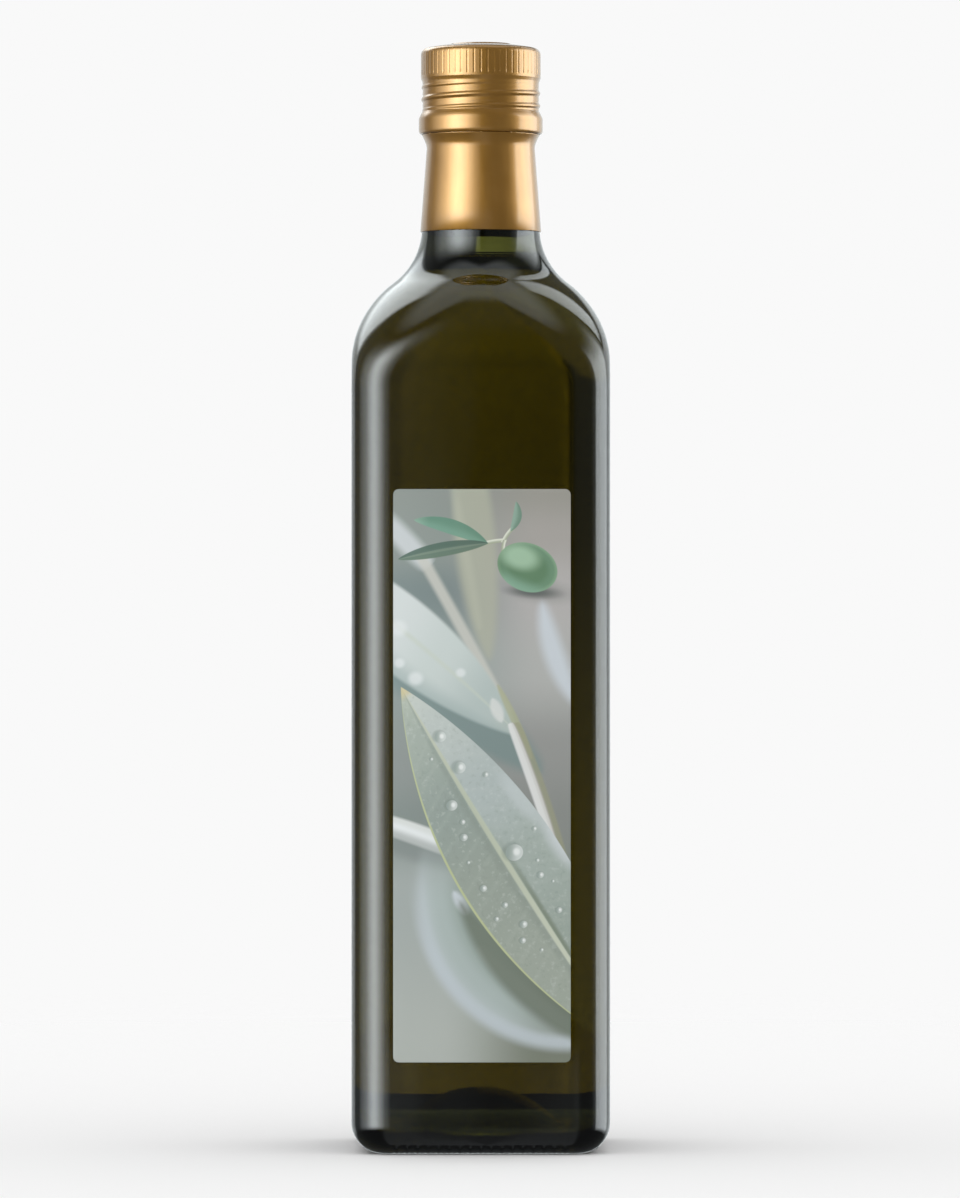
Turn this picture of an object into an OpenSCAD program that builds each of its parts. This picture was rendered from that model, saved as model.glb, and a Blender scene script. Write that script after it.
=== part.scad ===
// Square glass bottle of olive oil, filled and sealed.
// +Z is up, the label faces -Y, and the bottle stands on Z = 0 with its axis on the Z axis.
// Lengths are in millimetres.

/* [Bottle body] */
// Width across two flat sides
body_w = 67.4; // [52:0.1:90]
// Radius of the four upright corners
corner_r = 9.8; // [6:0.1:14]
// Height at which the straight sides end
side_h = 206; // [150:0.5:260]
// Radius that rounds the sides into the base
heel_r = 8; // [4:0.5:11]
// Thickness of the glass in the sides
wall = 3.6; // [2:0.1:4.5]

/* [Base] */
// Thickness of the glass floor beside the punt
floor_t = 6; // [3:0.25:8]
// Diameter of the punt, the hollow pushed up into the base
punt_d = 40; // [24:0.5:44]
// Height of the punt
punt_h = 12.5; // [4:0.5:18]
// Thickness of the glass over the punt
punt_t = 4; // [2:0.25:6]
// Number of gripping ribs under each side
rib_count = 17; // [5:1:19]
// Height that a rib stands out from the glass
rib_h = 0.3; // [0.1:0.05:0.6]

/* [Shoulder and neck] */
// Radius of the rounded shoulder
shoulder_r = 27; // [12:0.5:34]
// Lean of the shoulder, from upright, where its rounding ends
shoulder_lean = 52.5; // [35:0.5:65]
// How far below the shoulder the corners begin to round off
corner_drop = 6; // [0:0.5:20]
// Height above the sides at which the shoulder has become round
corner_rise = 24; // [14:0.5:34]
// Radius of the hollow curve at the foot of the neck
neck_fillet = 18.5; // [8:0.5:26]
// Diameter of the neck at its foot
neck_d = 31.1; // [24:0.1:36]
// Lean of the neck, from upright
neck_lean = 4.4; // [1:0.1:6]
// Height of the neck from its foot to the lip
neck_h = 47.3; // [36:0.1:70]
// Diameter of the bore through the neck
bore_d = 20; // [14:0.5:22]
// Radius that rounds the lip
lip_r = 1; // [0.4:0.1:1.5]

/* [Oil] */
// Depth of the empty neck, from the lip down to the oil
headspace = 55.3; // [30:0.1:70]
// Gap between oil and glass
oil_gap = 0.1; // [0.05:0.01:0.2]

/* [Screw cap] */
// Diameter over the knurled band
cap_d = 31.6; // [30.8:0.1:38]
// Height from the lower edge to the crown
cap_h = 23.9; // [20:0.1:30]
// Thickness of the crown with its sealing disc
crown_t = 2.3; // [1.6:0.1:4]
// Thickness of the sheet metal
metal_t = 0.3; // [0.2:0.05:0.6]
// Diameter of the flat middle of the crown
crown_flat_d = 16; // [8:0.5:22]
// Height of the knurled band
knurl_h = 6.2; // [3:0.1:8]
// Number of grooves round the knurled band
knurl_count = 56; // [24:1:90]
// Depth of a knurl groove
knurl_depth = 0.35; // [0.1:0.05:0.6]
// How much narrower the waist is than the knurled band, on the radius
waist_in = 0.45; // [0.1:0.05:0.7]
// How far the rolled thread stands out from the waist
thread_out = 0.22; // [0.05:0.01:0.4]
// How far the bead at the lower edge stands out from the knurled band
bead_out = 0.55; // [0.2:0.05:1.2]
// Height of that bead
bead_h = 5.4; // [3:0.1:8]

/* [Neck sleeve] */
// Thickness of the sleeve's sheet metal
sleeve_t = 0.25; // [0.15:0.05:0.5]
// Gap between sleeve and glass
sleeve_gap = 0.15; // [0.08:0.01:0.25]
// Gap at the torn line between cap and sleeve
tear_gap = 0.3; // [0.15:0.05:0.3]
// Height over which the sleeve flares out to the torn line
flare_h = 3.4; // [1.5:0.1:6]
// Radius at the torn line less the radius of the bead
flare_in = 0.8; // [0.3:0.05:1.5]
// Height of the sleeve's lower edge above the foot of the neck
sleeve_foot = 0; // [0:0.1:6]

/* [Label] */
// Bare flat glass beside the label, on each side
label_margin = 0.9; // [0.6:0.1:6]
// Distance that the label sits to the right of the middle
label_shift = 0.3; // [0:0.1:0.5]
// Height of the label's lower edge
label_foot = 24.2; // [16:0.1:60]
// Bare glass between the label and the shoulder's corners
label_top_gap = 27.2; // [2:0.1:60]
// Thickness of the label
label_t = 0.15; // [0.1:0.05:0.4]
// Radius of the label's corners
label_r = 1.5; // [0.5:0.1:5]

/* [Hidden] */
$fn = 96;

corner_steps = 10;      // points on each corner of a ring
least_corner = 2;       // no ring has sharper corners than this
half_w = body_w / 2;
flat_half = half_w - corner_r;
neck_r = neck_d / 2;
bore_r = bore_d / 2;

// The rounded shoulder and the neck's hollow curve are cut down together where a slim body
// leaves them too little room.
function drop(r1, r2, lean_b) =
    r1 * (1 - cos(shoulder_lean)) + r2 * (cos(lean_b) - cos(shoulder_lean));
outer_fit = min(1, 0.98 * (half_w - neck_r) / drop(shoulder_r, neck_fillet, neck_lean));
inner_fit = min(1, 0.98 * (half_w - wall - bore_r)
                / drop(shoulder_r * outer_fit - wall, neck_fillet * outer_fit + wall, 0));

// Radii and corner heights of a shoulder curve: [shoulder r, hollow r, straight length, foot height]
function shoulder(half, r1, r2, r_neck, lean_b) =
    let (straight = (half - r_neck - drop(r1, r2, lean_b)) / sin(shoulder_lean))
    [r1, r2, straight,
     side_h + r1 * sin(shoulder_lean) + straight * cos(shoulder_lean)
     + r2 * (sin(shoulder_lean) - sin(lean_b))];

outer_s = shoulder(half_w, shoulder_r * outer_fit, neck_fillet * outer_fit, neck_r, neck_lean);
inner_s = shoulder(half_w - wall, (shoulder_r * outer_fit - wall) * inner_fit,
                   (neck_fillet * outer_fit + wall) * inner_fit, bore_r, 0);

neck_foot = outer_s[3];
lip_z = neck_foot + neck_h;
cap_z = lip_z + crown_t - cap_h;          // lower edge of the cap
finish_r = neck_r - (cap_z - neck_foot) * tan(neck_lean);
oil_z = lip_z - headspace;

label_w = 2 * (flat_half - label_margin);
label_h = side_h - corner_drop - label_top_gap - label_foot;

// Half the width of the flat part of a ring at height z: full on the body, none on the neck
function blend(t) = t <= 0 ? 0 : t >= 1 ? 1 : t * t * (3 - 2 * t);
function flat_at(z) =
    flat_half * (1 - blend((z - side_h + corner_drop) / (corner_drop + corner_rise)));
function square_ring(w, z) = [w, z, max(0, min(flat_at(z), w - least_corner))];
function round_ring(r, z) = [r, z, 0];

// One ring of a loft, from [half width, height, half width of its flats]
function ring_points(ring, steps = corner_steps) =
    let (flat = ring[2], r = (ring[0] - flat) / cos(45 / steps))
    [for (quarter = [0:3], i = [0:steps - 1])
        let (turn = 90 * quarter, a = 90 * (i + 0.5) / steps,
             x = flat + r * cos(a), y = flat + r * sin(a))
        [x * cos(turn) - y * sin(turn), x * sin(turn) + y * cos(turn), ring[1]]];

// A closed skin over a list of rings, with a point on the axis at each end
module loft(first_z, rings, last_z) {
    n = 4 * corner_steps;
    last = len(rings) * n;
    points = concat([for (ring = rings) each ring_points(ring)], [[0, 0, first_z], [0, 0, last_z]]);
    skin = [for (k = [0:len(rings) - 2], i = [0:n - 1])
        let (j = (i + 1) % n, low = k * n, high = low + n)
        each [[low + i, high + i, high + j], [low + i, high + j, low + j]]];
    first_fan = [for (i = [0:n - 1]) [last, i, (i + 1) % n]];
    last_fan = [for (i = [0:n - 1]) [last + 1, last - n + (i + 1) % n, last - n + i]];
    polyhedron(points, concat(skin, first_fan, last_fan), convexity = 6);
}

// The rings of a shoulder from the sides to the foot of the neck, on curve s
function shoulder_rings(half, s, r_neck, lean_b) = concat(
    [for (a = [0:7.5:shoulder_lean - 1])
        square_ring(half - s[0] * (1 - cos(a)), side_h + s[0] * sin(a))],
    [for (k = [0:6])
        let (a = shoulder_lean + (lean_b - shoulder_lean) * k / 6)
        square_ring(r_neck + s[1] * (cos(lean_b) - cos(a)), s[3] - s[1] * (sin(a) - sin(lean_b)))]);

punt_ball = (pow(punt_d / 2, 2) + pow(punt_h, 2)) / (2 * punt_h);    // radius of its sphere
dome_ball = punt_ball + punt_t;
dome_foot = acos((floor_t + punt_ball - punt_h) / dome_ball);
dome_r = dome_ball * sin(dome_foot);                                 // where it meets the floor
floor_rim = 0.5;                                                     // flat floor round the dome
inner_heel_r = max(1, min(heel_r - wall / 2, half_w - wall - dome_r - floor_rim));

// Underside and outside of the glass, from the top of the punt to the lip
outside_rings = concat(
    [for (k = [1:5])
        let (a = k / 5 * asin(punt_d / 2 / punt_ball))
        round_ring(punt_ball * sin(a), punt_h - punt_ball * (1 - cos(a)))],
    [for (a = [0:15:90])
        square_ring(half_w - heel_r * (1 - sin(a)), heel_r * (1 - cos(a)))],
    [square_ring(half_w, side_h - corner_drop), square_ring(half_w, side_h - corner_drop / 2)],
    shoulder_rings(half_w, outer_s, neck_r, neck_lean),
    [round_ring(finish_r, cap_z)],
    [for (a = [0:30:90])
        round_ring(finish_r - lip_r * (1 - cos(a)), lip_z - lip_r * (1 - sin(a)))]);

// The hollow of the bottle, from the top of the floor's dome to a ring in the bore, all of it
// shrunk by gap
function hollow_rings(gap) =
    let (half = half_w - wall - gap, heel = inner_heel_r - gap, ball = dome_ball + gap)
    concat(
    [for (k = [1:4])
        let (a = k / 4 * dome_foot)
        round_ring(ball * sin(a), punt_h - punt_ball + ball * cos(a))],
    [for (a = [0:18:90])
        square_ring(half - heel * (1 - sin(a)), floor_t + gap + heel * (1 - cos(a)))],
    [square_ring(half, side_h - corner_drop), square_ring(half, side_h - corner_drop / 2)],
    [for (ring = shoulder_rings(half_w - wall, inner_s, bore_r, 0))
        square_ring(ring[0] - gap, ring[1])]);

module glass_bottle() {
    hollow = hollow_rings(0);
    inside = [for (k = [len(hollow) - 1:-1:0]) hollow[k]];
    lip = [for (a = [90:-30:0])
        round_ring(bore_r + lip_r * (1 - cos(a)), lip_z - lip_r * (1 - sin(a)))];
    color([0.2, 0.22, 0.06, 0.6]) union() {
        loft(punt_h, concat(outside_rings, lip, inside), punt_h + punt_t);
        base_ribs();
    }
}

// Short ribs that grip the table, side by side under each of the four sides
module base_ribs() {
    reach = heel_r + rib_h;
    from = acos(heel_r / reach) + 1;      // just clear of the table
    to = 40;
    pitch = 2 * (flat_half - least_corner) / (rib_count - 1);
    profile = concat(
        [for (a = [from:(to - from) / 4:to]) [reach * sin(a), heel_r - reach * cos(a)]],
        [[0.8 * heel_r * sin(to), heel_r * (1 - 0.8 * cos(to))],
         [0.8 * heel_r * sin(from), heel_r * (1 - 0.8 * cos(from))]]);
    for (turn = [0:90:270], k = [0:rib_count - 1])
        rotate([0, 0, turn])
            translate([half_w - heel_r, (k - (rib_count - 1) / 2) * pitch + 0.5, 0])
                rotate([90, 0, 0])
                    linear_extrude(1) polygon(profile);
}

module olive_oil() {
    body = [for (ring = hollow_rings(oil_gap)) if (ring[1] < oil_z - 0.5) ring];
    top = oil_radius(oil_z) - oil_gap;
    color([0.55, 0.5, 0.1, 0.8])
        loft(punt_h + punt_t + oil_gap, concat(body, [square_ring(top, oil_z)]), oil_z);
}

// Half width of the hollow at height z, in the shoulder or the neck
function oil_radius(z) =
    let (s = inner_s, hollow_z = s[3] - s[1] * sin(shoulder_lean),
         round_z = side_h + s[0] * sin(shoulder_lean))
    z >= s[3] ? bore_r
    : z > hollow_z ? bore_r + s[1] - sqrt(pow(s[1], 2) - pow(s[3] - z, 2))
    : z > round_z ? half_w - wall - s[0] * (1 - cos(shoulder_lean)) - (z - round_z) * tan(shoulder_lean)
    : z > side_h ? half_w - wall - s[0] + sqrt(pow(s[0], 2) - pow(z - side_h, 2))
    : half_w - wall;

cap_r = cap_d / 2;
waist_r = cap_r - waist_in;
thread_r = waist_r + thread_out;
bead_r = cap_r + bead_out;
crown_edge_r = 1.9;       // rounding from crown to knurled band
crown_fall = 1.1;         // how far the crown falls from its flat middle to that rounding
knurl_foot = cap_h - crown_fall - 1 - knurl_h;
waist_top = knurl_foot - 2.3;
waist_foot = bead_h + 2.9;

// Outside of the cap from its lower edge to the top of the waist, on heights above that edge
cap_skirt = [
    [bead_r - 0.7, 0], [bead_r - 0.25, 0.35], [bead_r, 1.1], [bead_r, bead_h - 1.4],
    [bead_r - 0.3, bead_h - 0.5], [waist_r + 0.25, bead_h + 0.7],
    [waist_r, waist_foot], [thread_r, waist_foot + 1.6], [thread_r, waist_foot + 2.4],
    [waist_r, waist_top - 0.9], [waist_r, waist_top], [cap_r - 0.1, knurl_foot - 1.1],
    [cap_r, knurl_foot - 0.7]];

module screw_cap() {
    rounding = [for (a = [0:15:90])
        [cap_r - crown_edge_r * (1 - cos(a)), cap_h - crown_fall - crown_edge_r * (1 - sin(a))]];
    crown = [[crown_flat_d / 2 + 0.3, cap_h - 0.25], [crown_flat_d / 2, cap_h], [0, cap_h]];
    inside = [for (k = [len(cap_skirt) - 1:-1:0]) [cap_skirt[k][0] - metal_t, cap_skirt[k][1]]];
    seat = cap_h - crown_t;
    color([0.8, 0.65, 0.4]) translate([0, 0, cap_z]) difference() {
        rotate_extrude() polygon(concat(cap_skirt, rounding, crown,
            [[0, seat], [cap_r - knurl_depth - metal_t, seat],
             [cap_r - knurl_depth - metal_t, knurl_foot]], inside));
        translate([0, 0, knurl_foot]) linear_extrude(cap_h) knurl_grooves();
    }
}

// The grooves of the knurled band, seen from above, as teeth on the inside of a ring
module knurl_grooves() {
    step = 360 / knurl_count;
    outside = cap_r + 1;
    teeth = [for (k = [0:knurl_count - 1],
                  corner = [[-0.3, outside], [-0.22, outside], [-0.1, cap_r - knurl_depth],
                            [0.1, cap_r - knurl_depth], [0.22, outside], [0.3, outside]])
        let (a = (k + corner[0]) * step)
        [corner[1] * cos(a), corner[1] * sin(a)]];
    difference() {
        circle(outside + 2);
        polygon(teeth);
    }
}

module neck_sleeve() {
    gap = sleeve_gap;
    top = cap_z - tear_gap;
    foot = neck_foot + sleeve_foot;
    waist = top - flare_h;
    function neck_at(z) = neck_r - (z - neck_foot) * tan(neck_lean) + gap;
    flare = [[0, 0], [0.12, 0.35], [0.45, 0.7], [1, 1]];      // share of the flare, out and up
    flare_out = bead_r - flare_in - sleeve_t - neck_at(waist);
    inside = concat(
        [[neck_at(foot), foot]],
        [for (p = flare) [neck_at(waist) + flare_out * p[0], waist + flare_h * p[1]]]);
    outside = [for (k = [len(inside) - 1:-1:0]) [inside[k][0] + sleeve_t, inside[k][1]]];
    color([0.8, 0.65, 0.4]) rotate_extrude() polygon(concat(inside, outside));
}

module front_label() {
    color([0.66, 0.68, 0.6])
        translate([label_shift, -half_w, label_foot + label_h / 2]) rotate([90, 0, 0])
            linear_extrude(label_t) label_outline();
}

module label_outline() {
    x = label_w / 2 - label_r;
    y = label_h / 2 - label_r;
    union() {
        square([label_w, 2 * y], center = true);
        square([2 * x, label_h], center = true);
        for (px = [-x, x], py = [-y, y]) translate([px, py]) circle(label_r);
    }
}

glass_bottle();
olive_oil();
screw_cap();
neck_sleeve();
front_label();
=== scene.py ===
# %% [markdown]
# # A square bottle of olive oil
# A tall bottle of dark green glass, full of oil, with a gold metal cap, a sleeve of the same
# metal on its neck and a printed label on its front. Each piece is made in its own cell, and
# each finish in its own cell. Lengths are in metres, +Z is up and the label faces -Y.

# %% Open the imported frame
import math
import bmesh
import bpy
from mathutils import Matrix, Vector


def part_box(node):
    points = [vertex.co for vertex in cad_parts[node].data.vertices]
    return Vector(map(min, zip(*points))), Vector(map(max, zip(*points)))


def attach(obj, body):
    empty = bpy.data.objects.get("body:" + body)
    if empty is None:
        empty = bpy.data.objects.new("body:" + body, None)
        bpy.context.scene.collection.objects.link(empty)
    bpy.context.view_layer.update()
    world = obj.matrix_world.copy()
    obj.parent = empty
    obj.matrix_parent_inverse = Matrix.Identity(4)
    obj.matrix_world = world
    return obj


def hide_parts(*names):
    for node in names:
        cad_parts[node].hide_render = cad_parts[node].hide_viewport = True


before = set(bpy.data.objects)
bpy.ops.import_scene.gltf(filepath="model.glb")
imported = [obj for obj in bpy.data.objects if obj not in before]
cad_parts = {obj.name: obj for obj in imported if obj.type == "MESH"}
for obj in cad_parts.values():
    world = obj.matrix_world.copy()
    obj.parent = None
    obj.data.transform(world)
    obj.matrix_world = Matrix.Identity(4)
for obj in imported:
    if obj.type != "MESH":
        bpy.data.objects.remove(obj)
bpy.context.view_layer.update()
MM = 0.001
print("frame nodes:", sorted(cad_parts))

# %% [markdown]
# The solids of the frame are plain: they carry the sizes, and the pieces made here take their
# places from them. The boxes of the five solids give the width of the bottle, the heights of
# the lip, the oil, the cap and the sleeve, and the outline of the label.

# %% Sizes taken from the frame
glass_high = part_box("glass_bottle")[1]
oil_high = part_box("olive_oil")[1]
cap_low, cap_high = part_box("screw_cap")
sleeve_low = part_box("neck_sleeve")[0]
label_low, label_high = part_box("front_label")
OIL_GAP = 0.1 * MM
HALF_W = glass_high.x
LIP_Z = glass_high.z
OIL_Z = oil_high.z
WALL = HALF_W - oil_high.x - OIL_GAP
print("half width %.2f mm, wall %.2f mm, lip %.2f mm" % (HALF_W / MM, WALL / MM, LIP_Z / MM))

# %% Sizes of the glass that its box doesn't show
CORNER_R = 9.8 * MM
HEEL_R = 8.0 * MM
SIDE_H = 206.0 * MM
CORNER_DROP = 6.0 * MM
CORNER_RISE = 24.0 * MM
SHOULDER_R = 27.0 * MM
SHOULDER_LEAN = math.radians(52.5)
NECK_FILLET = 18.5 * MM
NECK_R = 15.55 * MM
NECK_LEAN = math.radians(4.4)
BORE_R = 10.0 * MM
LIP_R = 1.0 * MM
FLOOR_T = 6.0 * MM
PUNT_R = 20.0 * MM
PUNT_H = 12.5 * MM
PUNT_T = 4.0 * MM
FLAT_HALF = HALF_W - CORNER_R

# %% [markdown]
# ## A loft drawn by extruding a ring
# The bottle is square at its sides and round at its neck, so it can't be spun. It is drawn as
# the mould closes on it: one ring of vertices is extruded upwards again and again, and after
# each step the new ring is placed on a rounded square. The flats of that square shrink to
# nothing through the shoulder, where the square becomes a circle. Each vertex keeps its
# station, its number round the ring, in a layer that the extrusion copies.

# %% Where the stations of a ring lie
def stations(corner_steps, flat_steps):
    """(quarter, True on a corner, share along it, share of the quarter) for each vertex."""
    places = []
    count = corner_steps + flat_steps
    for quarter in range(4):
        corner = [(True, i / corner_steps) for i in range(corner_steps + 1)]
        flat = [(False, i / flat_steps) for i in range(1, flat_steps)]
        places += [(quarter, on_corner, share, k / count)
                   for k, (on_corner, share) in enumerate(corner + flat)]
    return places

def quarter_point(place, half, flat):
    """Where a station lies in the first quarter of a rounded square with flats 2 x flat long."""
    quarter, on_corner, share, even = place
    radius = half - flat
    arc, straight = radius * math.pi / 2, 2 * flat
    own = (arc * share if on_corner else arc + straight * share) / (arc + straight)
    roundness = smooth(1 - flat / FLAT_HALF)
    reached = (own + (even - own) * roundness) * (arc + straight)
    if reached <= arc or straight == 0:
        a = reached / radius
        return flat + radius * math.cos(a), flat + radius * math.sin(a)
    return flat - (reached - arc), half

def ring_point(place, half, height, flat):
    """A point on a rounded square. Where it turns into a circle, the stations even out."""
    x, y = quarter_point(place, half, flat)
    turn = math.radians(90 * place[0])
    return Vector((x * math.cos(turn) - y * math.sin(turn),
                   x * math.sin(turn) + y * math.cos(turn), height))

def smooth(t):
    t = min(1.0, max(0.0, t))
    return t * t * (3 - 2 * t)

# %% Extrude the ring through its sections
def verts_of(geom):
    return [part for part in geom if isinstance(part, bmesh.types.BMVert)]

def face_outwards(bm):
    """Turns every face outwards, and checks it by the sign of the volume inside."""
    bmesh.ops.recalc_face_normals(bm, faces=bm.faces)
    if bm.calc_volume(signed=True) < 0:
        bmesh.ops.reverse_faces(bm, faces=bm.faces)

def loft(bm, places, sections, first_pole, last_pole, place=ring_point):
    """A closed skin through sections of (half width, height, flat half) with a pole at each end."""
    station = bm.verts.layers.int.new("station")
    ring = bmesh.ops.create_circle(bm, segments=len(places), radius=MM)["verts"]
    for k, vert in enumerate(ring):
        vert[station] = k
    start = list(ring)
    edges = list({edge for vert in ring for edge in vert.link_edges})
    for number, section in enumerate(sections):
        if number:
            ring, edges = grow(bm, edges)
        for vert in ring:
            vert.co = place(places[vert[station]], *section)
    close_end(bm, edges, last_pole)
    own = set(start)
    close_end(bm, [e for e in bm.edges if e.is_boundary and e.verts[0] in own], first_pole)
    face_outwards(bm)

def grow(bm, edges):
    """Extrudes a ring of edges once and returns the new ring's vertices and edges."""
    made = bmesh.ops.extrude_edge_only(bm, edges=edges)["geom"]
    ring = verts_of(made)
    own = set(ring)
    edges = [part for part in made if isinstance(part, bmesh.types.BMEdge)
             and part.verts[0] in own and part.verts[1] in own]
    return ring, edges

def close_end(bm, edges, height):
    """Draws a ring in to a pole on the axis."""
    ring, edges = grow(bm, edges)
    bmesh.ops.pointmerge(bm, verts=ring, merge_co=(0, 0, height))

# %% Turn a bmesh into a piece
def make_piece(name, bm, solid, material):
    """Makes the object, smooth all over, for the frame's solid that it stands for."""
    mesh = bpy.data.meshes.new(name)
    bm.to_mesh(mesh)
    bm.free()
    mesh.polygons.foreach_set("use_smooth", [True] * len(mesh.polygons))
    piece = bpy.data.objects.new(name, mesh)
    bpy.context.scene.collection.objects.link(piece)
    mesh.materials.append(material)
    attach(piece, "root")
    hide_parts(solid)
    print("%s: %d faces" % (name, len(mesh.polygons)))

# %% [markdown]
# ## The shoulder's curve
# From the side the shoulder is a quarter of a barrel that leans in to 52 degrees, then a short
# straight, then a hollow curve that turns up into the neck. The inside follows the outside a
# wall's thickness in, so both use the same function with other radii.

# %% Sections of the shoulder
def flat_at(height):
    """Half the flat part of a side: whole on the body, nothing on the neck."""
    return FLAT_HALF * (1 - smooth((height - SIDE_H + CORNER_DROP) / (CORNER_DROP + CORNER_RISE)))

LEAST_CORNER = 2 * MM

def square(half, height):
    """A section with the corners that belong at that height."""
    return half, height, max(0.0, min(flat_at(height), half - LEAST_CORNER))

def span(first, last, steps):
    return [first + (last - first) * i / steps for i in range(steps + 1)]

def shoulder(half, round_r, hollow_r, neck_r, neck_lean):
    """Sections from the top of the sides to the foot of the neck."""
    lean = SHOULDER_LEAN
    drop = round_r * (1 - math.cos(lean)) + hollow_r * (math.cos(neck_lean) - math.cos(lean))
    straight = (half - neck_r - drop) / math.sin(lean)
    foot = (SIDE_H + round_r * math.sin(lean) + straight * math.cos(lean)
            + hollow_r * (math.sin(lean) - math.sin(neck_lean)))
    made = [square(half, SIDE_H - CORNER_DROP + MM * k) for k in range(6)]
    made += [square(half - round_r * (1 - math.cos(a)), SIDE_H + round_r * math.sin(a))
             for a in span(0, lean, 20)]
    made += [square(neck_r + hollow_r * (math.cos(neck_lean) - math.cos(a)),
                    foot - hollow_r * (math.sin(a) - math.sin(neck_lean)))
             for a in span(lean, neck_lean, 14)]
    return made

# %% Sections of the outside and of the hollow
outer_shoulder = shoulder(HALF_W, SHOULDER_R, NECK_FILLET, NECK_R, NECK_LEAN)
inner_shoulder = shoulder(HALF_W - WALL, SHOULDER_R - WALL, NECK_FILLET + WALL, BORE_R, 0)
NECK_FOOT = outer_shoulder[-1][1]
FINISH_R = NECK_R - (cap_low.z - NECK_FOOT) * math.tan(NECK_LEAN)
punt_ball = (PUNT_R ** 2 + PUNT_H ** 2) / (2 * PUNT_H)
punt_centre = PUNT_H - punt_ball
dome_ball = punt_ball + PUNT_T
dome_foot = math.acos((FLOOR_T - punt_centre) / dome_ball)
INNER_HEEL_R = HEEL_R - WALL / 2

def hollow(grow_by, steps):
    """The hollow from its floor to the foot of the bore, moved grow_by into the glass."""
    ball = dome_ball - grow_by
    half = HALF_W - WALL + grow_by
    heel = INNER_HEEL_R + grow_by
    made = [(ball * math.sin(a), punt_centre + ball * math.cos(a), 0.0)
            for a in span(0, dome_foot, steps)[1:]]
    made += [square(half - heel * (1 - math.sin(a)), FLOOR_T - grow_by + heel * (1 - math.cos(a)))
             for a in span(0, math.pi / 2, steps)]
    made += [square(wide + grow_by, z) for wide, z, _ in inner_shoulder]
    return made

print("neck foot %.2f mm, finish radius %.2f mm" % (NECK_FOOT / MM, FINISH_R / MM))

# %% [markdown]
# ## Ribs under the heel
# Bottles carry a row of short ribs low on each side, which grip the conveyor. They are part of
# the glass, so they aren't laid on it: the stations along each flat are close together, and
# those low on the heel are pushed out a little where a rib stands.

# %% Push out the ribs
RIB_COUNT = 17
RIB_H = 0.3 * MM
RIB_PITCH = 2 * (FLAT_HALF - 2 * MM) / (RIB_COUNT - 1)
RIB_STEPS = 6
RIB_FROM, RIB_TO = math.radians(16), math.radians(41)
RIB_FADE = math.radians(4)

def glass_point(place, half, height, flat):
    """A point of the glass: the plain ring, with the ribs pushed out of the heel."""
    point = ring_point(place, half, height, flat)
    quarter, on_corner = place[:2]
    if on_corner or height > HEEL_R or half < HALF_W - HEEL_R:
        return point
    heel_turn = math.acos(max(-1.0, min(1.0, 1 - height / HEEL_R)))
    along = quarter_point(place, half, flat)[0] / RIB_PITCH
    crest = max(0.0, math.cos(2 * math.pi * along)) if abs(along) < RIB_COUNT / 2 else 0.0
    window = smooth((heel_turn - RIB_FROM) / RIB_FADE) * smooth((RIB_TO - heel_turn) / RIB_FADE)
    push = RIB_H * crest * window
    out = Vector((-math.sin(math.radians(90 * quarter)), math.cos(math.radians(90 * quarter)), 0))
    return point + push * (out * math.sin(heel_turn) - Vector((0, 0, math.cos(heel_turn))))

# %% Sections of the whole glass, from the punt round to the hollow's floor
def glass_sections():
    made = [(punt_ball * math.sin(a), PUNT_H - punt_ball * (1 - math.cos(a)), 0.0)
            for a in span(0, math.asin(PUNT_R / punt_ball), 8)[1:]]
    heel_angles = span(0, RIB_FROM, 2) + span(RIB_FROM, RIB_TO, 8)[1:]
    heel_angles += span(RIB_TO, math.pi / 2, 6)[1:]
    made += [square(HALF_W - HEEL_R * (1 - math.sin(a)), HEEL_R * (1 - math.cos(a)))
             for a in heel_angles]
    made += [square(HALF_W, HEEL_R + MM), square(HALF_W, SIDE_H / 2)]
    made += outer_shoulder
    made += [(FINISH_R, cap_low.z, 0.0)]
    made += [(FINISH_R - LIP_R * (1 - math.cos(a)), LIP_Z - LIP_R * (1 - math.sin(a)), 0.0)
             for a in span(0, math.pi / 2, 4)]
    made += [(BORE_R + LIP_R * (1 - math.cos(a)), LIP_Z - LIP_R * (1 - math.sin(a)), 0.0)
             for a in span(math.pi / 2, 0, 4)]
    return made + hollow(0, 8)[::-1]

# %% [markdown]
# ## Finishes
# The materials come before the pieces, so each piece is given its finish as it is made. A node
# tree is a list of nodes and links, so a few small helpers keep the cells short.

# %% Helpers for node trees
def new_material(name):
    """A material with an empty Principled BSDF: returns the material, its nodes and the shader."""
    material = bpy.data.materials.new(name)
    material.use_nodes = True
    shader = material.node_tree.nodes["Principled BSDF"]
    return material, material.node_tree, shader

def node(tree, kind, settings=None, **inputs):
    """Adds a shader node, sets its options, and links or sets its inputs by name or number."""
    made = tree.nodes.new("ShaderNode" + kind)
    for key, value in (settings or {}).items():
        setattr(made, key, value)
    for key, value in inputs.items():
        feed(tree, made, key.replace("_", " ") if not key.startswith("i") else int(key[1:]), value)
    return made

def feed(tree, made, key, value):
    socket = made.inputs[key]
    if isinstance(value, bpy.types.NodeSocket):
        tree.links.new(value, socket)
    else:
        socket.default_value = value

def maths(operation, a, b=0.0, c=0.0):
    """One Math node, in the tree of its sockets: a, b and c are sockets or numbers."""
    tree = next(each.id_data for each in (a, b, c) if isinstance(each, bpy.types.NodeSocket))
    return node(tree, "Math", {"operation": operation}, i0=a, i1=b, i2=c).outputs[0]

def plus(a, b):
    return maths("ADD", a, b)

def minus(a, b):
    return maths("SUBTRACT", a, b)

def times(a, b):
    return maths("MULTIPLY", a, b)

def ratio(a, b):
    return maths("DIVIDE", a, b)

def size_of(a):
    return maths("ABSOLUTE", a)

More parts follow.
